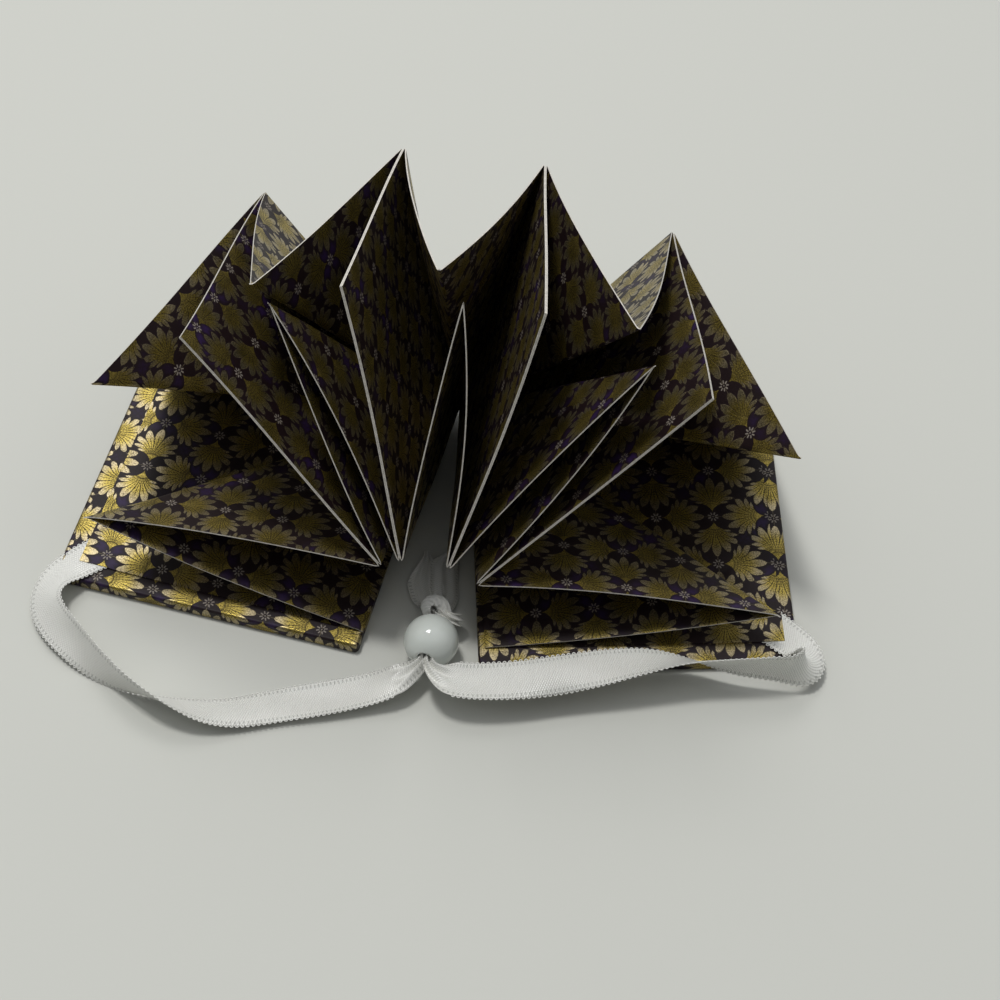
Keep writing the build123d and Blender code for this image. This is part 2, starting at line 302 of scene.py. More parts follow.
def printed_paper(settings):
    """Japanese-style paper with an aubergine ground and hot-stamped gold foil.

    The foil is a thin metal film over slightly rough paper, so it glints in specks where
    it faces a light and turns nearly black where it faces the dark. The ground is a soft
    satin ink. Places on the paper are the Print map, where 1 is 100 mm.
    """
    material, tree = new_material("Foil-printed paper")
    place = add(tree, "ShaderNodeUVMap", uv_map="Print").outputs[0]

    # Ragged outlines, about 0.1 mm, as foil tears on fibres
    fray = add(tree, "ShaderNodeTexNoise", {"Vector": place, "Scale": 220.0, "Detail": 2.0})
    drift = add(tree, "ShaderNodeVectorMath", {0: fray.outputs["Color"], 1: (0.5, 0.5, 0.5)},
                operation="SUBTRACT")
    ragged = add(tree, "ShaderNodeVectorMath", {0: drift.outputs[0], 1: (0.0022, 0.0022, 0.0), 2: place},
                 operation="MULTIPLY_ADD")
    figure = add(tree, "ShaderNodeGroup", node_tree=palmette_group(settings.repeat))
    tree.links.new(ragged.outputs[0], figure.inputs[0])

    # Ground: violet blooms away from the figures
    bloom = add(tree, "ShaderNodeTexNoise", {"Vector": place, "Scale": 11.0, "Detail": 1.0})
    patch = add(tree, "ShaderNodeMapRange", {0: bloom.outputs[0], 1: 0.50, 2: 0.66, 3: 0.0, 4: 1.0})
    away = add(tree, "ShaderNodeMath", {0: 1.0, 1: figure.outputs["halo"]}, operation="SUBTRACT")
    violet = add(tree, "ShaderNodeMath", {0: away.outputs[0], 1: patch.outputs[0]}, operation="MULTIPLY")
    ground = add(tree, "ShaderNodeMix", {0: violet.outputs[0], 6: settings.ground, 7: settings.bloom},
                 data_type="RGBA")

    # Foil speckle, about 0.25 mm, coarser than the real grain so that it shows
    speck = add(tree, "ShaderNodeTexNoise", {"Vector": place, "Scale": 420.0, "Detail": 2.0,
                                             "Roughness": 0.7})
    wear = add(tree, "ShaderNodeTexNoise", {"Vector": place, "Scale": 35.0, "Detail": 3.0})
    foil = add(tree, "ShaderNodeMix", {0: figure.outputs["pale"], 6: settings.gold, 7: settings.tip},
               data_type="RGBA")
    mottled = add(tree, "ShaderNodeMath", {0: wear.outputs[0], 1: 0.35, 2: speck.outputs[0]},
                  operation="MULTIPLY_ADD")
    grain = add(tree, "ShaderNodeMapRange", {0: mottled.outputs[0], 1: 0.50, 2: 0.84, 3: 0.20, 4: 1.15})
    grained = add(tree, "ShaderNodeVectorMath", {0: foil.outputs[2], 3: grain.outputs[0]}, operation="SCALE")
    veined = add(tree, "ShaderNodeMix", {0: figure.outputs["vein"], 6: grained.outputs[0],
                                         7: settings.vein}, data_type="RGBA")
    inked = add(tree, "ShaderNodeMix", {0: figure.outputs["gold"], 6: ground.outputs[2],
                                        7: veined.outputs[2]}, data_type="RGBA")
    dotted = add(tree, "ShaderNodeMix", {0: figure.outputs["dot"], 6: inked.outputs[2], 7: settings.dots},
                 data_type="RGBA")

    # Foil is metal, veins and ground are ink
    unveined = add(tree, "ShaderNodeMath", {0: 1.0, 1: figure.outputs["vein"]}, operation="SUBTRACT")
    film = add(tree, "ShaderNodeMath", {0: figure.outputs["gold"], 1: unveined.outputs[0]},
               operation="MULTIPLY")
    metal = add(tree, "ShaderNodeMath", {0: film.outputs[0], 1: 0.92}, operation="MULTIPLY")
    rough = add(tree, "ShaderNodeMapRange", {0: film.outputs[0], 3: 0.42, 4: 0.28})
    grit = add(tree, "ShaderNodeMath", {0: speck.outputs[0], 1: 0.24, 2: rough.outputs[0]},
               operation="MULTIPLY_ADD")
    fibre = add(tree, "ShaderNodeTexNoise", {"Vector": place, "Scale": 190.0, "Detail": 4.0})
    relief = add(tree, "ShaderNodeMath", {0: film.outputs[0], 1: 0.45, 2: fibre.outputs[0]},
                 operation="MULTIPLY_ADD")
    bump = add(tree, "ShaderNodeBump", {"Strength": 0.45, "Distance": 0.00006, "Height": relief.outputs[0]})
    shader = add(tree, "ShaderNodeBsdfPrincipled", {
        "Base Color": dotted.outputs[2], "Metallic": metal.outputs[0], "Roughness": grit.outputs[0],
        "Specular IOR Level": 0.28, "Normal": bump.outputs[0]})
    add(tree, "ShaderNodeOutputMaterial", {"Surface": shader.outputs[0]})
    return material


def cut_paper(settings):
    """Bare wood-pulp edge of the cut sheets: matt, fibrous and nearly white."""
    material, tree = new_material("Cut paper edge")
    place = add(tree, "ShaderNodeTexCoord").outputs["Object"]
    fibre = add(tree, "ShaderNodeTexNoise", {"Vector": place, "Scale": 1800.0, "Detail": 3.0})
    tone = add(tree, "ShaderNodeMapRange", {0: fibre.outputs[0], 1: 0.3, 2: 0.7, 3: 0.72, 4: 1.0})
    tint = add(tree, "ShaderNodeVectorMath", {0: settings.core[:3], 3: tone.outputs[0]}, operation="SCALE")
    shader = add(tree, "ShaderNodeBsdfPrincipled", {"Base Color": tint.outputs[0], "Roughness": 0.85,
                                                    "Specular IOR Level": 0.3})
    add(tree, "ShaderNodeOutputMaterial", {"Surface": shader.outputs[0]})
    return material


def grey_board(settings):
    """Pressed board of recycled pulp: matt grey with flecks and a soft mottle."""
    material, tree = new_material("Grey board")
    place = add(tree, "ShaderNodeTexCoord").outputs["Object"]
    fleck = add(tree, "ShaderNodeTexNoise", {"Vector": place, "Scale": 900.0, "Detail": 5.0})
    tone = add(tree, "ShaderNodeMapRange", {0: fleck.outputs[0], 1: 0.3, 2: 0.7, 3: 0.65, 4: 1.1})
    tint = add(tree, "ShaderNodeVectorMath", {0: settings.board[:3], 3: tone.outputs[0]}, operation="SCALE")
    bump = add(tree, "ShaderNodeBump", {"Strength": 0.3, "Distance": 0.0001, "Height": fleck.outputs[0]})
    shader = add(tree, "ShaderNodeBsdfPrincipled", {"Base Color": tint.outputs[0], "Roughness": 0.9,
                                                    "Normal": bump.outputs[0]})
    add(tree, "ShaderNodeOutputMaterial", {"Surface": shader.outputs[0]})
    return material


def white_satin(settings):
    """Polyester satin ribbon, whose long floats give a soft sheen in slanting bands.

    The Print map runs in metres: U along the ribbon and V across it. The weave shows as
    slanting ribs 0.42 mm apart, a little coarser than the real one so that they show,
    and a row of fine holes lies inside each selvedge.
    """
    material, tree = new_material("White satin ribbon")
    place = add(tree, "ShaderNodeUVMap", uv_map="Print").outputs[0]
    parts = add(tree, "ShaderNodeSeparateXYZ", {0: place})
    waves = {}
    for name, along, over in (("rib", 15000.0, 9000.0), ("counter", 15000.0, -9000.0),
                              ("hole", 9240.0, 0.0)):
        slant = add(tree, "ShaderNodeMath", {0: parts.outputs[1], 1: over}, operation="MULTIPLY")
        phase = add(tree, "ShaderNodeMath", {0: parts.outputs[0], 1: along, 2: slant.outputs[0]},
                    operation="MULTIPLY_ADD")
        waves[name] = add(tree, "ShaderNodeMath", {0: phase.outputs[0]}, operation="SINE").outputs[0]
    weave = add(tree, "ShaderNodeMath", {0: waves["counter"], 1: 0.35, 2: waves["rib"]},
                operation="MULTIPLY_ADD")
    half = settings.width / 2 - 0.0008
    edge = add(tree, "ShaderNodeMath", {0: parts.outputs[1]}, operation="ABSOLUTE")
    offset = add(tree, "ShaderNodeMath", {0: edge.outputs[0], 1: half}, operation="SUBTRACT")
    near = add(tree, "ShaderNodeMath", {0: offset.outputs[0]}, operation="ABSOLUTE")
    row = add(tree, "ShaderNodeMapRange", {0: near.outputs[0], 1: 0.00018, 2: 0.00034, 3: 1.0, 4: 0.0})
    holes = add(tree, "ShaderNodeMapRange", {0: waves["hole"], 1: 0.1, 2: 0.7})
    pierced = add(tree, "ShaderNodeMath", {0: row.outputs[0], 1: holes.outputs[0]}, operation="MULTIPLY")
    crease = add(tree, "ShaderNodeTexNoise", {"Vector": place, "Scale": 160.0, "Detail": 2.0})
    thread = add(tree, "ShaderNodeMapRange", {0: weave.outputs[0], 1: -1.35, 2: 1.35, 3: 0.84, 4: 1.0})
    clouded = add(tree, "ShaderNodeMapRange", {0: crease.outputs[0], 1: 0.3, 2: 0.7, 3: 0.96, 4: 1.0})
    toned = add(tree, "ShaderNodeMath", {0: thread.outputs[0], 1: clouded.outputs[0]}, operation="MULTIPLY")
    solid = add(tree, "ShaderNodeMath", {0: pierced.outputs[0], 1: -0.3, 2: 1.0}, operation="MULTIPLY_ADD")
    level = add(tree, "ShaderNodeMath", {0: toned.outputs[0], 1: solid.outputs[0]}, operation="MULTIPLY")
    tint = add(tree, "ShaderNodeVectorMath", {0: settings.satin[:3], 3: level.outputs[0]}, operation="SCALE")
    relief = add(tree, "ShaderNodeMath", {0: pierced.outputs[0], 1: -2.0, 2: weave.outputs[0]},
                 operation="MULTIPLY_ADD")
    bump = add(tree, "ShaderNodeBump", {"Strength": 0.55, "Distance": 0.00005, "Height": relief.outputs[0]})
    shader = add(tree, "ShaderNodeBsdfPrincipled", {
        "Base Color": tint.outputs[0], "Roughness": 0.30, "Specular IOR Level": 0.95, "Sheen Weight": 0.2,
        "Sheen Roughness": 0.4, "Subsurface Weight": 0.3, "Subsurface Radius": (1.0, 1.0, 0.95),
        "Subsurface Scale": 0.0005, "Normal": bump.outputs[0]})
    add(tree, "ShaderNodeOutputMaterial", {"Surface": shader.outputs[0]})
    return material


def milk_glass(settings):
    """Pressed milk glass: a glossy skin over a faintly translucent white body."""
    material, tree = new_material("Milk glass")
    place = add(tree, "ShaderNodeTexCoord").outputs["Object"]
    cloud = add(tree, "ShaderNodeTexNoise", {"Vector": place, "Scale": 260.0, "Detail": 3.0})
    tone = add(tree, "ShaderNodeMapRange", {0: cloud.outputs[0], 1: 0.3, 2: 0.7, 3: 0.94, 4: 1.0})
    tint = add(tree, "ShaderNodeVectorMath", {0: settings.glass[:3], 3: tone.outputs[0]}, operation="SCALE")
    ripple = add(tree, "ShaderNodeBump", {"Strength": 0.15, "Distance": 0.0001, "Height": cloud.outputs[0]})
    shader = add(tree, "ShaderNodeBsdfPrincipled", {
        "Base Color": tint.outputs[0], "Roughness": 0.1, "IOR": 1.5, "Subsurface Weight": 0.4,
        "Subsurface Radius": (0.9, 0.95, 1.0), "Subsurface Scale": 0.0015, "Coat Weight": 0.3,
        "Coat Roughness": 0.04, "Normal": ripple.outputs[0]})
    add(tree, "ShaderNodeOutputMaterial", {"Surface": shader.outputs[0]})
    return material


# ------------------------------------------------------------------ ribbons

# Route points in metres, each with the ribbon's turn from flat, in degrees. Both ribbons
# make half a twist between their cover and the bead.
LEFT_ROUTE = (
    (-0.0463, -0.0125, 0.0025, 0), (-0.0530, -0.0172, 0.0025, 0), (-0.0592, -0.0213, 0.00255, 3),
    (-0.0628, -0.0249, 0.0029, 24), (-0.0636, -0.0292, 0.0031, 38), (-0.0616, -0.0332, 0.0032, 40),
    (-0.0573, -0.0376, 0.0033, 48), (-0.0529, -0.0418, 0.0034, 68), (-0.0476, -0.0456, 0.0036, 97),
    (-0.0414, -0.0479, 0.0034, 126), (-0.0358, -0.0485, 0.0021, 152), (-0.0300, -0.0480, 0.0012, 168),
    (-0.0235, -0.0463, 0.0009, 174), (-0.0155, -0.0448, 0.0011, 176), (-0.0080, -0.0429, 0.0020, 172),
    (-0.0032, -0.0412, 0.0037, 165), (0.00035, -0.0391, 0.0054, 160), (0.0009, -0.0368, 0.0050, 160),
)
RIGHT_ROUTE = (
    (0.0492, -0.0193, 0.0025, 0), (0.0552, -0.0247, 0.0025, 0), (0.0607, -0.0293, 0.00255, 0),
    (0.0635, -0.0320, 0.0031, -14), (0.0642, -0.0355, 0.0044, -50), (0.0613, -0.0373, 0.0056, -80),
    (0.0570, -0.0372, 0.0060, -90), (0.0507, -0.0372, 0.0061, -102), (0.0443, -0.0370, 0.0064, -127),
    (0.0373, -0.0377, 0.0065, -158), (0.0295, -0.0392, 0.0065, -182), (0.0215, -0.0412, 0.0064, -195),
    (0.0137, -0.0426, 0.0061, -186), (0.0063, -0.0430, 0.0057, -180), (0.0022, -0.0413, 0.0057, -175),
    (0.0008, -0.0387, 0.0057, -170), (0.0011, -0.0368, 0.0052, -170),
)


def route_line(name, route, step):
    """Evenly spaced points along the smooth curve of a route, and their distances."""
    curve = bpy.data.curves.new(name, "CURVE")
    curve.dimensions = "3D"
    curve.resolution_u = 16
    spline = curve.splines.new("NURBS")
    spline.points.add(len(route) - 1)
    for point, place in zip(spline.points, route):
        point.co = (*place[:3], 1.0)
    spline.order_u = 3
    spline.use_endpoint_u = True
    holder = bpy.data.objects.new(name, curve)
    bpy.context.collection.objects.link(holder)
    read = bpy.data.meshes.new_from_object(holder.evaluated_get(bpy.context.evaluated_depsgraph_get()))
    points = np.array([vertex.co for vertex in read.vertices])
    bpy.data.objects.remove(holder)
    bpy.data.curves.remove(curve)
    bpy.data.meshes.remove(read)
    gaps = np.linalg.norm(np.diff(points, axis=0), axis=1)
    points = points[np.concatenate([[True], gaps > 1e-7])]
    run = np.concatenate([[0], np.cumsum(np.linalg.norm(np.diff(points, axis=0), axis=1))])
    at = np.linspace(0, run[-1], int(round(run[-1] / step)) + 1)
    return np.stack([np.interp(at, run, points[:, k]) for k in range(3)], -1), at


def ribbon_frames(line, at, route):
    """Directions across a ribbon and out of its face, turned as its route says."""
    keys = np.array(route)
    nearest = np.array([np.argmin(np.linalg.norm(line - key, axis=1)) for key in keys[:, :3]])
    nearest[0], nearest[-1] = 0, len(line) - 1
    turn = np.radians(np.interp(at, at[nearest], keys[:, 3]))
    turn = np.convolve(np.pad(turn, 6, mode="edge"), np.ones(13) / 13, mode="valid")
    ahead = unit(np.gradient(line, axis=0))
    level = unit(np.cross([0, 0, 1], ahead))
    across = level * np.cos(turn)[:, None] + np.cross(ahead, level) * np.sin(turn)[:, None]
    return across, np.cross(ahead, across)


def woven_strip(line, at, across, face, width, thickness, gathered=None, cup=None, pleats=2.5):
    """A closed woven band along a line, drawn into pleats where it is gathered."""
    steps = 30
    w = np.linspace(-1, 1, steps + 1)
    selvedge = np.exp(-((1 - np.abs(w) - 0.03) / 0.05) ** 2)
    fat = thickness / 2 * (1 + 0.5 * selvedge) * np.where(np.abs(w) > 0.995, 0.4, 1.0)
    share = np.ones(len(line)) if gathered is None else np.asarray(gathered)
    hollow = np.zeros(len(line)) if cup is None else np.asarray(cup)
    points, uvs = [], []
    for i, here in enumerate(line):
        swing = width[i] / (4 * pleats) * math.sqrt(max(0.0, 1 - share[i] ** 2))
        rise = swing * np.sin(2 * math.pi * pleats * w / 2) + hollow[i] * (w * w - 0.4)
        for side in (1, -1):
            order = slice(None) if side > 0 else slice(None, None, -1)
            points.append(here + np.outer(w * width[i] / 2 * share[i], across[i])[order]
                          + np.outer(rise + side * fat, face[i])[order])
            uvs.append(np.stack([np.full(steps + 1, at[i]), w * width[i] / 2], -1)[order])
    ring = 2 * (steps + 1)
    base = np.arange(len(line) - 1)[:, None] * ring
    k = np.arange(ring)[None, :]
    n = (k + 1) % ring
    faces = np.stack([base + k, base + ring + k, base + ring + n, base + n], -1).reshape(-1, 4).tolist()
    last = (len(line) - 1) * ring
    for j in range(steps):
        faces.append([j, j + 1, ring - 2 - j, ring - 1 - j])
        faces.append([last + ring - 1 - j, last + ring - 2 - j, last + j + 1, last + j])
    return np.concatenate(points), faces, np.concatenate(uvs)


def edge_loop_tree(material):
    """Node tree that sews small thread loops at a steady pitch along selvedge lines."""
    tree = bpy.data.node_groups.new("Edge loops", "GeometryNodeTree")
    tree.interface.new_socket("Geometry", in_out="INPUT", socket_type="NodeSocketGeometry")
    for name in ("Pitch", "Loop radius", "Thread radius"):
        tree.interface.new_socket(name, in_out="INPUT", socket_type="NodeSocketFloat")
    tree.interface.new_socket("Geometry", in_out="OUTPUT", socket_type="NodeSocketGeometry")
    start = add(tree, "NodeGroupInput")
    line = add(tree, "GeometryNodeMeshToCurve", {"Mesh": start.outputs["Geometry"]})
    spaced = add(tree, "GeometryNodeResampleCurve", {"Curve": line.outputs[0],
                                                     "Length": start.outputs["Pitch"]}, mode="LENGTH")
    outward = add(tree, "GeometryNodeInputNamedAttribute", {"Name": "outward"}, data_type="FLOAT_VECTOR")
    facing = add(tree, "GeometryNodeInputNamedAttribute", {"Name": "facing"}, data_type="FLOAT_VECTOR")
    turned = add(tree, "FunctionNodeAxesToRotation", {0: facing.outputs[0], 1: outward.outputs[0]},
                 primary_axis="Z", secondary_axis="X")
    arc = add(tree, "GeometryNodeCurveArc", {
        "Resolution": 6, "Radius": start.outputs["Loop radius"], "Start Angle": -math.pi / 2,
        "Sweep Angle": math.pi}, mode="RADIUS")
    thread = add(tree, "GeometryNodeCurvePrimitiveCircle", {"Resolution": 5,
                                                            "Radius": start.outputs["Thread radius"]})
    loop = add(tree, "GeometryNodeCurveToMesh", {"Curve": arc.outputs[0], "Profile Curve": thread.outputs[0],
                                                 "Fill Caps": True})
    placed = add(tree, "GeometryNodeInstanceOnPoints", {"Points": spaced.outputs[0],
                                                        "Instance": loop.outputs[0],
                                                        "Rotation": turned.outputs[0]})
    real = add(tree, "GeometryNodeRealizeInstances", {0: placed.outputs[0]})
    smooth = add(tree, "GeometryNodeSetShadeSmooth", {0: real.outputs[0]})
    made = add(tree, "GeometryNodeSetMaterial", {"Geometry": smooth.outputs[0], "Material": material})
    add(tree, "NodeGroupOutput", {0: made.outputs[0]})
    return tree


class ORNAMENT_OT_ribbons(bpy.types.Operator):
    """Lay both ribbons from the covers' corners to the bead"""
    bl_idname = "ornament.ribbons"
    bl_label = "Ribbons"

    def execute(self, context):
        settings = context.scene.ornament_ribbon
        material = white_satin(settings)
        tree = edge_loop_tree(material)
        for side, route in (("left", LEFT_ROUTE), ("right", RIGHT_ROUTE)):
            line, at = route_line(f"{side}_route", route, 0.0004)
            across, face = ribbon_frames(line, at, route)
            body = np.full(len(at), settings.width - 0.0006)
            gathered = 1 - 0.66 * smooth_step(at[-1] - 0.0080, at[-1] - 0.0020, at)
            loose = smooth_step(0.018, 0.026, at)
            cup = 0.00060 * loose * np.sin(at * 200 + 1.0)
            points, faces, uvs = woven_strip(line, at, across, face, body, settings.thickness, gathered, cup)
            piece = mesh_piece(f"{side.capitalize()}_ribbon", points, faces, (material,), uvs=uvs, crease=60)
            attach(piece, "root")
            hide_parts(f"{side}_ribbon")
            free = (at > 0.001) & (at < at[-1] - 0.0085)
            loops = self.edge_loops(side, line[free], across[free], face[free], body[free], cup[free],
                                    tree, settings)
        return {"FINISHED"}

    def edge_loops(self, side, line, across, face, width, cup, tree, settings):
        """Both selvedges of a ribbon, sewn with loops, as one plain mesh."""
        points, outward, edges = [], [], []
        for hand in (-1, 1):
            start = len(points) * len(line)
            points.append(line + across * (hand * width / 2)[:, None] + face * (cup * 0.6)[:, None])
            outward.append(across * hand)
            edges += [(start + i, start + i + 1) for i in range(len(line) - 1)]
        mesh = bpy.data.meshes.new(f"{side}_selvedges")
        mesh.from_pydata(np.concatenate(points).tolist(), edges, [])
        for name, values in (("outward", np.concatenate(outward)), ("facing", np.concatenate([face, face]))):
            layer = mesh.attributes.new(name, "FLOAT_VECTOR", "POINT")
            layer.data.foreach_set("vector", values.astype(np.float32).ravel())
        holder = bpy.data.objects.new(mesh.name, mesh)
        bpy.context.collection.objects.link(holder)
        modifier = holder.modifiers.new("Edge loops", "NODES")
        modifier.node_group = tree
        sockets = {item.name: item.identifier for item in tree.interface.items_tree
                   if item.item_type == "SOCKET" and item.in_out == "INPUT"}
        modifier[sockets["Pitch"]] = settings.loop_pitch
        modifier[sockets["Loop radius"]] = settings.loop_radius
        modifier[sockets["Thread radius"]] = settings.thread
        sewn = bpy.data.meshes.new_from_object(holder.evaluated_get(bpy.context.evaluated_depsgraph_get()))
        bpy.data.objects.remove(holder)
        piece = bpy.data.objects.new(f"{side.capitalize()}_ribbon_edge_loops", sewn)
        bpy.context.collection.objects.link(piece)
        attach(piece, "root")
        return piece


# ------------------------------------------------------------------ folded sheets

def page_edges(settings, page):
    """Unit vectors along a page's front and back edges."""
    yaw, lift, fan = settings.yaw[page], settings.lift[page], settings.fan[page]
    front = np.array([math.sin(yaw) * math.cos(lift), -math.cos(yaw) * math.cos(lift), math.sin(lift)])
    level = np.array([-math.cos(yaw), -math.sin(yaw), 0.0])
    return front, level * math.cos(fan) - np.cross(front, level) * math.sin(fan)


def gusset_ridge(first, second, inward):
    """A gusset's free diagonal, as long as the diagonal of a square of side 1."""
    between = (first + second) * (math.cos(math.pi / 4) / (1 + first @ second))
    across = unit(np.cross(first, second))
    if across @ inward < 0:
        across = -across
    return (between + across * math.sqrt(1 - between @ between)) * math.sqrt(2)


def sheet_centres(settings, pages):
    """Each sheet's middle, glued past the one before it, and the last one on its cover."""
    centres = [np.array([settings.centre[0], settings.centre[1], settings.seat])]
    for page in range(1, 5):
        front, back = pages[page]
        glued = centres[-1] + np.cross(back, front) * settings.spacing + front * settings.slip_front[page - 1]
        slip = settings.slip_back[page - 1] if page < 4 else (settings.seat - glued[2]) / back[2]
        centres.append(glued + back * slip)
    return centres


def folded(centre, near, far, u, v):
    """Where places u, v on the flat sheet lie once it is folded.

    +u and +v run along the near page's front and back edges, -v and -u along the far
    page's. The gussets fold along the diagonals between them.
    """
    front_ridge = gusset_ridge(near[0], far[0], near[1] + far[1])
    back_ridge = gusset_ridge(near[1], far[1], near[0] + far[0])
    u, v = u[..., None], v[..., None]
    back_near, back_far = -u * back_ridge + (u + v) * near[1], v * back_ridge - (u + v) * far[1]
    front_near, front_far = -v * front_ridge + (u + v) * near[0], u * front_ridge - (u + v) * far[0]
    place = np.where((u >= 0) & (v >= 0), u * near[0] + v * near[1], -v * far[0] - u * far[1])
    place = np.where((u < 0) & (v >= 0), np.where(v >= -u, back_near, back_far), place)
    place = np.where((u >= 0) & (v < 0), np.where(u >= -v, front_near, front_far), place)
    return centre + place


def soft_folds(settings, centre, near, far, u, v):
    """The folded sheet with its creases rounded, by averaging over a small disc."""
    loop = smooth_step(0.004, 0.014, np.minimum(np.abs(u), np.abs(v))) * (u * v < 0)
    radius = settings.fold_radius + (settings.loop_radius - settings.fold_radius) * loop
    total = folded(centre, near, far, u, v)
    for part, turns in ((0.5, 6), (1.0, 10)):
        for k in range(turns):
            turn = 2 * math.pi * (k + part) / turns
            total = total + folded(centre, near, far, u + radius * part * math.cos(turn),
                                   v + radius * part * math.sin(turn))
    return total / 17


def open_gussets(settings, near, far, u, v):
    """How each half of a gusset bows away from the other, most at its free edge."""
    front_ridge = gusset_ridge(near[0], far[0], near[1] + far[1])
    back_ridge = gusset_ridge(near[1], far[1], near[0] + far[0])
    size = np.maximum(np.abs(u), np.abs(v))
    part = np.minimum(np.abs(u), np.abs(v)) / np.maximum(size, 1e-9)
    swell = settings.gusset_bow * 4 * part * (1 - part) * smooth_step(0, settings.side / 2, size) * (u * v < 0)
    total = np.zeros((*u.shape, 3))
    for ridge, edges, here in ((front_ridge, (near[0], far[0]), u > 0), (back_ridge, (near[1], far[1]), u < 0)):
        for edge, other, half in ((*edges, u + v >= 0), (*edges[::-1], u + v < 0)):
            out = unit(np.cross(edge, ridge))
            out = out * -math.copysign(1, out @ (other - edge))
            total += (swell * here * half)[..., None] * out
    return total


def flush_edges(settings, number, centres, pages, u, v):
    """How a sheet stretches to meet its neighbours' edges halfway, where both are glued."""
    turn = np.degrees(np.arctan2(v, u)) % 360
    to_near = np.interp(turn, [0, 90, 180, 270, 360], [1, 1, 0, 0, 1])
    away = smooth_step(0, 0.6 * settings.side / 2, np.maximum(np.abs(u), np.abs(v)))
    total = np.zeros((*u.shape, 3))
    for other, page, share in ((number - 1, number, to_near), (number + 1, number + 1, 1 - to_near)):
        if 0 <= other < len(centres):
            step = centres[other] - centres[number]
            front, back = pages[page]
            out = np.cross(back, front)
            total += (share * away)[..., None] * (step - out * (step @ out)) / 2
    return total


# Slow bows of hand-folded paper, in metres: where they lie along x, y and z, and how they push
BOWS = (
    ((0.0, 91.0, 43.0, 0.6), (0.00036, 0.0, 0.0)), ((0.0, -59.0, 118.0, 2.0), (0.00020, 0.0, 0.0)),
    ((77.0, 0.0, -67.0, 1.1), (0.0, 0.00028, 0.0)), ((62.0, 83.0, 0.0, 0.3), (0.0, 0.0, 0.00022)),
)
# Where the real paper leaves its planes most: the spot, how far it reaches and its pull
PULLS = (
    ((-0.044, -0.020, 0.021), 0.015, (0.0012, 0.0, -0.0002)),
    ((0.045, -0.022, 0.020), 0.015, (-0.0011, 0.0, 0.0)),
)


def settle(points):
    """Bend the folded paper gently, leaving what is glued to the covers flat."""
    free = smooth_step(0.004, 0.016, points[..., 2])[..., None]
    for wave, push in BOWS:
        points = points + np.sin(points @ np.array(wave[:3]) + wave[3])[..., None] * free * np.array(push)
    for spot, reach, pull in PULLS:
        far = np.linalg.norm(points - np.array(spot), axis=-1)
        points = points + np.array(pull) * (1 - smooth_step(0, reach, far))[..., None]
    return points


def over_ribbon(points, route, rise):
    """Raise glued paper where the ribbon's end lies under it."""
    start, end = np.array(route[0][:2]), np.array(route[2][:2])
    span = end - start
    along = (points[..., :2] - start) @ span / (span @ span)
    near = points[..., :2] - start - span * along[..., None]
    beside = np.linalg.norm(near, axis=-1)
    over = (1 - smooth_step(0.0033, 0.0043, beside)) * smooth_step(-0.07, 0.0, along)
    over = over * (1 - smooth_step(0.0032, 0.0045, points[..., 2]))
    return points + np.array([0, 0, rise]) * over[..., None]


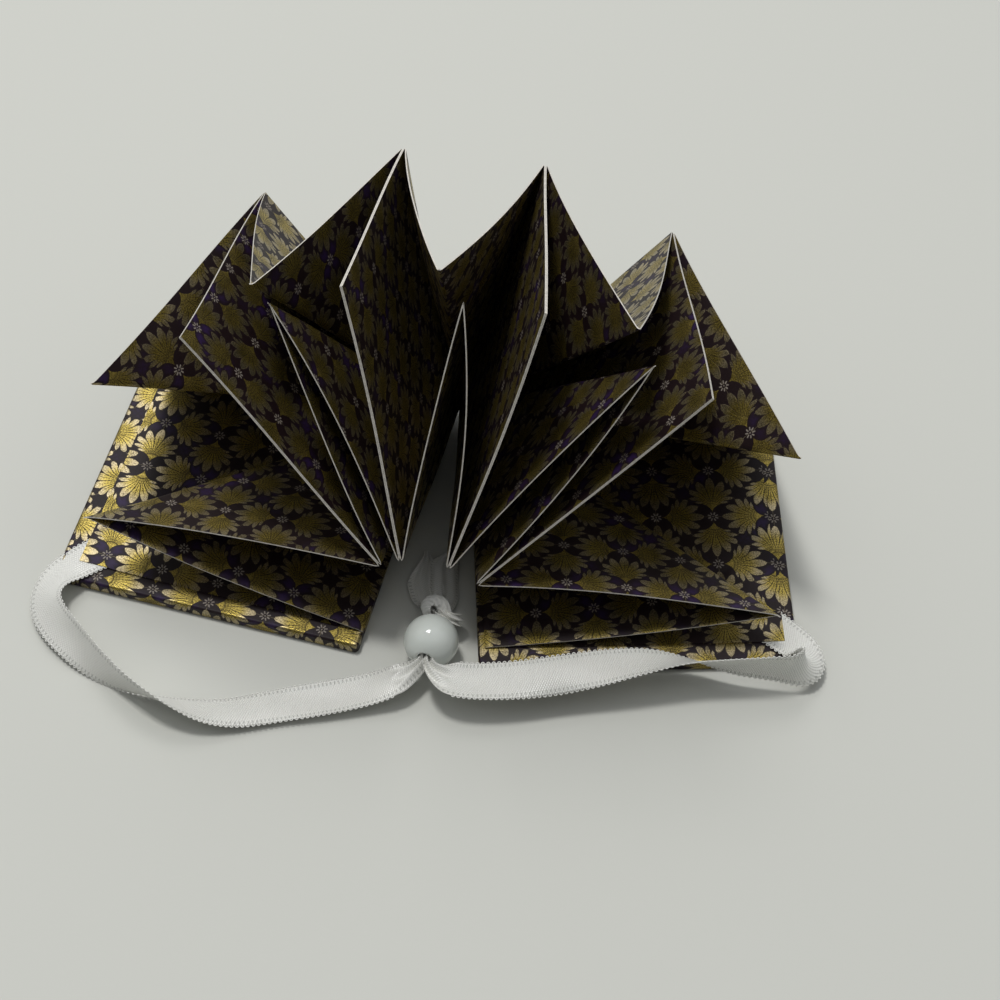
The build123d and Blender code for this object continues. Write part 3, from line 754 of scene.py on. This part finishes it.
class ORNAMENT_OT_sheets(bpy.types.Operator):
    """Fold the five printed sheets"""
    bl_idname = "ornament.sheets"
    bl_label = "Folded sheets"

    # Where the print falls on each sheet, in metres from its middle
    print_shift = ((0.0016, 0.0033), (0.0044, 0.0007), (-0.0030, 0.0052), (0.0022, -0.0019), (0.0010, -0.0053))

    def execute(self, context):
        scene = context.scene
        settings = scene.ornament_sheets
        ink, core = printed_paper(scene.ornament_print), cut_paper(scene.ornament_print)
        pages = [page_edges(settings, page) for page in range(6)]
        centres = sheet_centres(settings, pages)
        count = settings.cells + 1
        line = np.linspace(-settings.side / 2, settings.side / 2, count)
        u, v = np.meshgrid(line, line, indexing="ij")
        index = np.arange(count * count).reshape(count, count)
        a, b, c, d = index[:-1, :-1], index[1:, :-1], index[1:, 1:], index[:-1, 1:]
        # Cells are split along the free diagonal, from +u -v to -u +v
        cells = np.concatenate([np.stack([a, b, d], -1).reshape(-1, 3), np.stack([b, c, d], -1).reshape(-1, 3)])
        rim = np.concatenate([index[:, 0], index[-1, 1:], index[-2::-1, -1], index[0, -2:0:-1]])
        back = count * count
        band = np.stack([rim, rim + back, np.roll(rim, -1) + back, np.roll(rim, -1)], -1)
        faces = [*cells, *(cells[:, ::-1] + back), *band]
        for number in range(5):
            near, far = pages[number], pages[number + 1]
            middle = soft_folds(settings, centres[number], near, far, u, v)
            middle = middle + open_gussets(settings, near, far, u, v)
            middle = settle(middle + flush_edges(settings, number, centres, pages, u, v))
            if number in (0, 4):
                route = LEFT_ROUTE if number == 0 else RIGHT_ROUTE
                middle = over_ribbon(middle, route, scene.ornament_ribbon.thickness)
            normal = unit(np.cross(np.gradient(middle, axis=0), np.gradient(middle, axis=1)))
            # Glued faces meet halfway between the sheets' middles
            glued = settings.spacing / 2 - 0.00001
            glued_side, open_side = middle + normal * glued, middle + normal * (glued - settings.thickness)
            points = np.concatenate([glued_side.reshape(-1, 3), open_side.reshape(-1, 3)])
            # On the quarter pressed on a cover the cut edge gets the printed paper instead of the bare cut:
            # painted shade, so that the edge shows as a dark line
            hand = {0: 1, 4: -1}.get(number, 0)
            pressed = (u.ravel()[rim] * hand > 0) & (v.ravel()[rim] * hand > 0)
            slots = np.concatenate([np.zeros(2 * len(cells)), np.where(pressed, 0, 1)])
            shift = self.print_shift[number]
            uv = np.stack([(u + shift[0]) * 10, (v + shift[1]) * 10], -1).reshape(-1, 2)
            piece = mesh_piece(f"Folded_sheet_{number + 1}", points, faces, (ink, core), slots,
                               np.concatenate([uv, uv]))
            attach(piece, "root")
            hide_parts(f"folded_sheet_{number + 1}")
        return {"FINISHED"}


# ------------------------------------------------------------------ covers

class ORNAMENT_OT_covers(bpy.types.Operator):
    """Wrap the two boards in printed paper"""
    bl_idname = "ornament.covers"
    bl_label = "Covers"

    # Where a rosette falls on each cover, in metres from its middle
    print_start = {"left": (-0.0195, -0.0250), "right": (0.0252, -0.0173)}

    def execute(self, context):
        scene = context.scene
        settings = scene.ornament_covers
        ink = bpy.data.materials["Foil-printed paper"]
        board = grey_board(settings)
        for side in ("left", "right"):
            centre, yaw = getattr(settings, f"{side}_centre"), getattr(settings, f"{side}_yaw")
            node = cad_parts[f"{side}_cover_paper"]
            work = bmesh.new()
            work.from_mesh(node.data)
            bmesh.ops.remove_doubles(work, verts=work.verts, dist=1e-7)
            self.lay_print(work, Vector((*centre, 0)), Matrix.Rotation(-yaw, 3, "Z"),
                           self.print_start[side], settings.thickness)
            mesh = bpy.data.meshes.new(f"{side.capitalize()}_cover_wrap")
            work.to_mesh(mesh)
            work.free()
            mesh.set_sharp_from_angle(angle=math.radians(35))
            mesh.materials.append(ink)
            piece = bpy.data.objects.new(mesh.name, mesh)
            context.collection.objects.link(piece)
            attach(piece, "root")
            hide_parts(f"{side}_cover_paper")
            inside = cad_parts[f"{side}_cover_board"]
            inside.data.materials.clear()
            inside.data.materials.append(board)
        return {"FINISHED"}

    def lay_print(self, work, centre, turn, start, thickness):
        """Print map that runs across the face and on over each turned edge."""
        layer = work.loops.layers.uv.new("Print")
        for face in work.faces:
            face.smooth = True
            lean = turn @ face.normal
            over = Vector((math.copysign(1, lean.x), 0)) if abs(lean.x) > abs(lean.y) else \
                Vector((0, math.copysign(1, lean.y)))
            for loop in face.loops:
                here = turn @ (loop.vert.co - centre)
                drop = 0 if lean.z < -0.7 else thickness - here.z
                loop[layer].uv = ((here.x - start[0] + over.x * drop) * 10,
                                  (here.y - start[1] + over.y * drop) * 10)


# ------------------------------------------------------------------ bead and knot

class ORNAMENT_OT_bead(bpy.types.Operator):
    """Turn the bead and tie the knot behind it"""
    bl_idname = "ornament.bead"
    bl_label = "Bead and knot"

    def execute(self, context):
        settings = context.scene.ornament_bead
        level = math.cos(settings.dip)
        axis = np.array([math.sin(settings.yaw) * level, math.cos(settings.yaw) * level,
                         -math.sin(settings.dip)])
        centre = np.array(settings.centre)
        side = unit(np.cross([0, 0, 1], axis))
        high = np.cross(axis, side)
        self.bead(settings, centre, axis, side, high)
        self.knot(settings, centre, axis, side, high)
        return {"FINISHED"}

    def bead(self, settings, centre, axis, side, high):
        """A turned outline from one rim of the hole to the other, and back inside."""
        rim = math.asin((settings.hole + 0.00035) / settings.radius)
        sweep = [rim + (math.pi - 2 * rim) * k / 48 for k in range(49)]
        outline = [(settings.radius * math.cos(a), settings.radius * math.sin(a)) for a in sweep]
        end = outline[0][0]
        lip = [(end - 0.00005, settings.hole + 0.00018), (end - 0.00020, settings.hole + 0.00005),
               (end - 0.00045, settings.hole)]
        outline += [(-x, y) for x, y in lip] + lip[::-1]
        around, count = 80, len(outline)
        spin = np.linspace(0, 2 * math.pi, around, endpoint=False)
        points = [centre + axis * x + (side * math.cos(a) + high * math.sin(a)) * y
                  for x, y in outline for a in spin]
        faces = [(i * around + j, i * around + (j + 1) % around,
                  (i + 1) % count * around + (j + 1) % around, (i + 1) % count * around + j)
                 for i in range(count) for j in range(around)]
        piece = mesh_piece("Bead", points, faces, (milk_glass(settings),), crease=50)
        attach(piece, "root")
        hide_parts("bead")

    def knot(self, settings, centre, axis, side, high):
        """Both ribbons out of the bead, tied in a tight overhand knot, and their tails."""
        parts = []
        stem = centre + axis * np.linspace(-settings.radius * 0.55, settings.radius + 0.0012, 24)[:, None]
        at = np.linspace(0, 0.009, len(stem))
        ones = np.ones((len(stem), 1))
        parts.append(woven_strip(stem, at, ones * side, ones * high, np.full(len(stem), 0.006), 0.0002,
                                 np.full(len(stem), 0.30)))
        # The drawn knot is a trefoil path, pressed against the bead
        middle = centre + axis * (settings.radius + 0.0017) + high * 0.0002
        t = np.linspace(0, 2 * math.pi, 161)
        one = unit(side * 0.9 + axis * 0.25 + high * 0.25)
        two = unit(high - one * (high @ one))
        three = np.cross(one, two)
        reach, depth = 0.00112, 0.00095
        path = (middle + np.outer((np.sin(t) + 2 * np.sin(2 * t)) * reach, one)
                + np.outer((np.cos(t) - 2 * np.cos(2 * t)) * reach * 0.72, two)
                + np.outer(-np.sin(3 * t) * depth, three))
        ahead = unit(np.gradient(path, axis=0))
        out = path - middle
        out = unit(out - ahead * np.sum(out * ahead, axis=1, keepdims=True))
        breadth = 0.0052 * (1 + 0.12 * np.sin(5 * t))
        parts.append(woven_strip(path, t * 0.0018, np.cross(out, ahead), out, breadth, 0.0002,
                                 np.full(len(t), 0.42), np.full(len(t), -0.0006)))
        # Two tails run back between the covers, and are cut on the slant
        for start, heading_yaw, length, lift, roll in ((0.0004, 3.0, 0.0160, 0.0011, 0.5),
                                                       (-0.0009, 17.0, 0.0145, 0.0006, -0.35)):
            heading = np.array([-math.sin(math.radians(heading_yaw)), math.cos(math.radians(heading_yaw)), 0.0])
            run = np.linspace(0, length, 60)
            fall = (middle[2] - 0.0008) * np.exp(-run / 0.0028) + 0.0007 + lift * np.sin(run / length * 2.6)
            foot = np.array([middle[0] + start, middle[1], 0.0])
            tail = foot + heading * run[:, None] + np.outer(fall, [0, 0, 1])
            ahead = unit(np.gradient(tail, axis=0))
            level = unit(np.cross([0, 0, 1.0], ahead))
            tilt = roll * np.sin(run / length * math.pi)
            across = level * np.cos(tilt)[:, None] + np.cross(ahead, level) * np.sin(tilt)[:, None]
            spread = 0.3 + 0.62 * smooth_step(0.0, 0.006, run)
            point = 1 - 0.86 * smooth_step(length - 0.0062, length, run)
            parts.append(woven_strip(tail - across * ((1 - point) * 0.0022)[:, None], run, across,
                                     np.cross(ahead, across), 0.0064 * point, 0.0002, spread))
        points, faces, uvs, base = [], [], [], 0
        for part in parts:
            points.append(part[0])
            faces += [[base + k for k in face] for face in part[1]]
            uvs.append(part[2])
            base += len(part[0])
        piece = mesh_piece("Ribbon_knot", np.concatenate(points), faces,
                           (bpy.data.materials["White satin ribbon"],), uvs=np.concatenate(uvs), crease=60)
        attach(piece, "root")
        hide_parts("ribbon_knot")


# ------------------------------------------------------------------ stage

class ORNAMENT_OT_stage(bpy.types.Operator):
    """Set the camera, the pale table and the lamps"""
    bl_idname = "ornament.stage"
    bl_label = "Stage"

    def execute(self, context):
        scene = context.scene
        camera = bpy.data.cameras.new("Camera")
        camera.lens = 93.6
        camera.clip_start = 0.01
        look = bpy.data.objects.new("Camera", camera)
        context.collection.objects.link(look)
        slope, roll = math.radians(54.12), math.radians(2.881)
        ahead = Vector((0, math.cos(slope), -math.sin(slope)))
        level = Vector((1, 0, 0))
        head = level.cross(ahead)
        right = level * math.cos(roll) + head * math.sin(roll)
        top = head * math.cos(roll) - level * math.sin(roll)
        look.matrix_world = Matrix((
            (right.x, top.x, -ahead.x, 0.01157), (right.y, top.y, -ahead.y, -0.26664),
            (right.z, top.z, -ahead.z, 0.366), (0, 0, 0, 1)))
        scene.camera = look

        # Matt off-white table with a faint tooth
        material, tree = new_material("Pale table")
        place = add(tree, "ShaderNodeTexCoord").outputs["Object"]
        tooth = add(tree, "ShaderNodeTexNoise", {"Vector": place, "Scale": 900.0, "Detail": 3.0})
        bump = add(tree, "ShaderNodeBump", {"Strength": 0.08, "Distance": 0.0001, "Height": tooth.outputs[0]})
        shader = add(tree, "ShaderNodeBsdfPrincipled", {
            "Base Color": hex_colour("#CBCCC6"), "Roughness": 0.7, "Specular IOR Level": 0.2,
            "Normal": bump.outputs[0]})
        add(tree, "ShaderNodeOutputMaterial", {"Surface": shader.outputs[0]})
        half = 3.0
        table = mesh_piece("Table", [(-half, -half, 0), (half, -half, 0), (half, half, 0), (-half, half, 0)],
                           [(0, 1, 2, 3)], (material,))

        # The room is brightest at the ceiling, a little behind the table, and dim at eye level
        world = bpy.data.worlds.new("Room")
        scene.world = world
        world.use_nodes = True
        tree = world.node_tree
        tree.nodes.clear()
        toward = add(tree, "ShaderNodeVectorMath", {0: add(tree, "ShaderNodeTexCoord").outputs["Generated"],
                                                    1: (0.0, 0.52, 0.85)}, operation="DOT_PRODUCT")
        glow = add(tree, "ShaderNodeMapRange", {0: toward.outputs["Value"], 1: 0.0, 2: 0.9, 3: 0.03, 4: 0.79})
        room = add(tree, "ShaderNodeBackground", {0: hex_colour("#F4F6F8"), 1: glow.outputs[0]})
        add(tree, "ShaderNodeOutputWorld", {0: room.outputs[0]})

        for name, toward, far, size, watts in (("High_lamp", (-0.18, 0.14, 0.97), 1.1, 0.18, 5.2),
                                               ("Back_window", (-0.14, 0.58, 0.80), 1.3, 0.40, 2.4)):
            lamp = bpy.data.lights.new(name, "AREA")
            lamp.energy = watts
            lamp.size = size
            lamp.color = (1.0, 0.99, 0.965)
            holder = bpy.data.objects.new(name, lamp)
            holder.location = Vector(toward).normalized() * far
            holder.rotation_euler = (-holder.location).to_track_quat("-Z", "Y").to_euler()
            context.collection.objects.link(holder)
        scene.view_settings.view_transform = "Standard"
        return {"FINISHED"}


class ORNAMENT_PT_panel(bpy.types.Panel):
    bl_idname = "ORNAMENT_PT_panel"
    bl_label = "Folded paper ornament"
    bl_space_type = "VIEW_3D"
    bl_region_type = "UI"
    bl_category = "Ornament"

    def draw(self, context):
        for name, operator in (("ornament_ribbon", "ornament.ribbons"), ("ornament_print", None),
                               ("ornament_sheets", "ornament.sheets"), ("ornament_covers", "ornament.covers"),
                               ("ornament_bead", "ornament.bead"), (None, "ornament.stage")):
            box = self.layout.box()
            if name:
                group = getattr(context.scene, name)
                for key in group.__annotations__:
                    box.prop(group, key)
            if operator:
                box.operator(operator)


GROUPS = (("ornament_print", PrintSettings), ("ornament_sheets", SheetSettings),
          ("ornament_covers", CoverSettings), ("ornament_ribbon", RibbonSettings),
          ("ornament_bead", BeadSettings))
CLASSES = (*[group for _, group in GROUPS], ORNAMENT_OT_stage, ORNAMENT_OT_ribbons, ORNAMENT_OT_sheets,
           ORNAMENT_OT_covers, ORNAMENT_OT_bead, ORNAMENT_PT_panel)


def register():
    for cls in CLASSES:
        bpy.utils.register_class(cls)
    for name, group in GROUPS:
        setattr(bpy.types.Scene, name, PointerProperty(type=group))


def unregister():
    for name, _ in GROUPS:
        delattr(bpy.types.Scene, name)
    for cls in reversed(CLASSES):
        bpy.utils.unregister_class(cls)


def main():
    register()
    bpy.ops.ornament.stage()
    bpy.ops.ornament.ribbons()
    bpy.ops.ornament.sheets()
    bpy.ops.ornament.covers()
    bpy.ops.ornament.bead()


if __name__ == "__main__":
    main()
